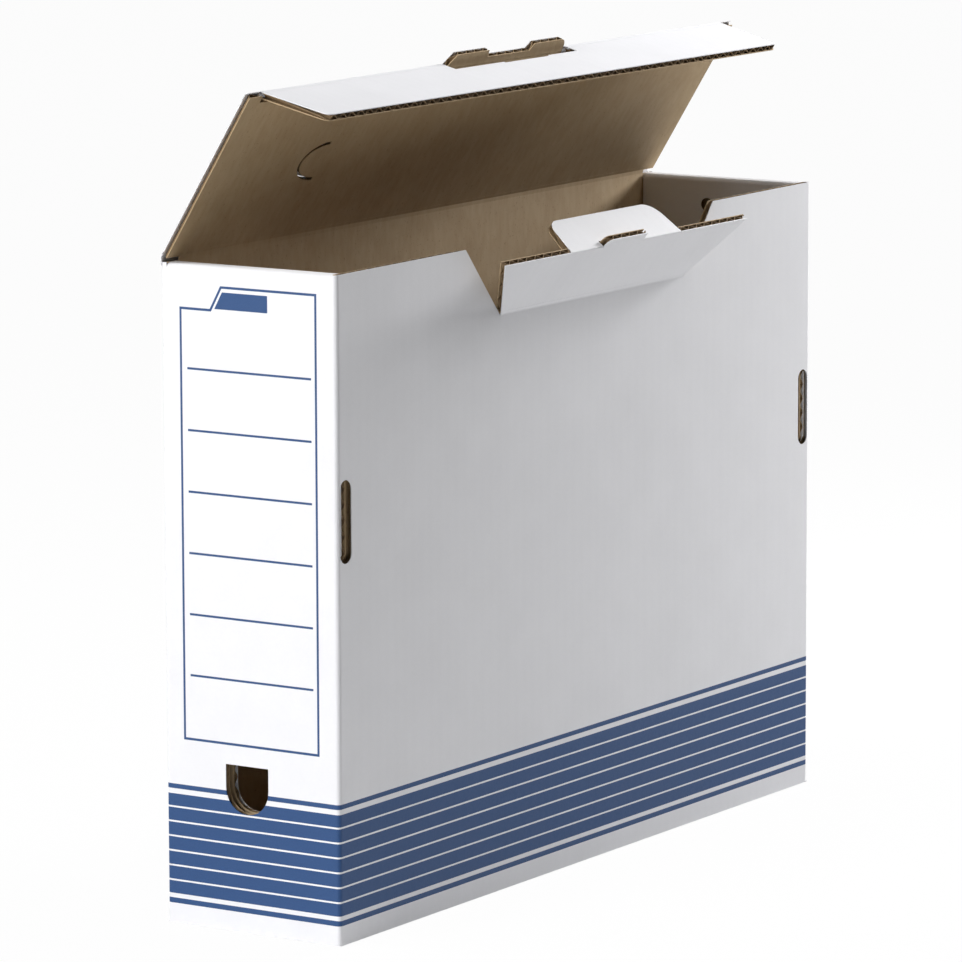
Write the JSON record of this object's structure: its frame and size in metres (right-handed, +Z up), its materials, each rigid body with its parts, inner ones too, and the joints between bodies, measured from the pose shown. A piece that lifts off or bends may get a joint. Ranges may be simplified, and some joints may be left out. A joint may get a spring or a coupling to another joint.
{
  "type": "archive storage box",
  "caption": "Upright corrugated archive box with a side-hinged lid, tuck flap and a drop-front flap with a locking tongue.",
  "frame": {"origin": "centre of the base, on the surface that the box stands on", "axes": "+Z up, +X towards the near side with the drop front, the spine with the finger hole faces -Y"},
  "size_m": [0.1023, 0.3682, 0.3386],
  "materials": {
    "white_board": "matt white liner, kraft brown inside"
  },
  "bodies": {
    "box": {"box_body": "white_board"},
    "lid": {"lid_panel": "white_board"},
    "tuck_flap": {"lid_tuck_flap": "white_board"},
    "front_flap": {"front_flap": "white_board"},
    "tongue": {"front_flap_tongue": "white_board"}
  },
  "joints": [
    {"name": "lid_hinge", "type": "hinge", "parent": "box", "child": "lid", "pos_m": [-0.0401, 0, 0.2673], "axis": [0, -1, -0.0033], "range_deg": [-58, 90]},
    {"name": "tuck_flap_fold", "type": "hinge", "parent": "lid", "child": "tuck_flap", "pos_m": [0.0007, -0.00021, 0.3326], "axis": [0, 1, 0.0033], "range_deg": [-72.3, 46.8]},
    {"name": "front_flap_fold", "type": "hinge", "parent": "box", "child": "front_flap", "pos_m": [0.04165, 0, 0.2365], "axis": [0, 1, 0], "range_deg": [-32, 120]},
    {"name": "tongue_fold", "type": "hinge", "parent": "front_flap", "child": "tongue", "pos_m": [0.05898, 0, 0.25975], "axis": [0, -1, 0], "range_deg": [-27, 7.3]}
  ],
  "couplings": [
    {"joint": "tuck_flap_fold", "follows": "lid_hinge", "ratio": -0.8},
    {"joint": "tongue_fold", "follows": "front_flap_fold", "ratio": -0.21875}
  ]
}
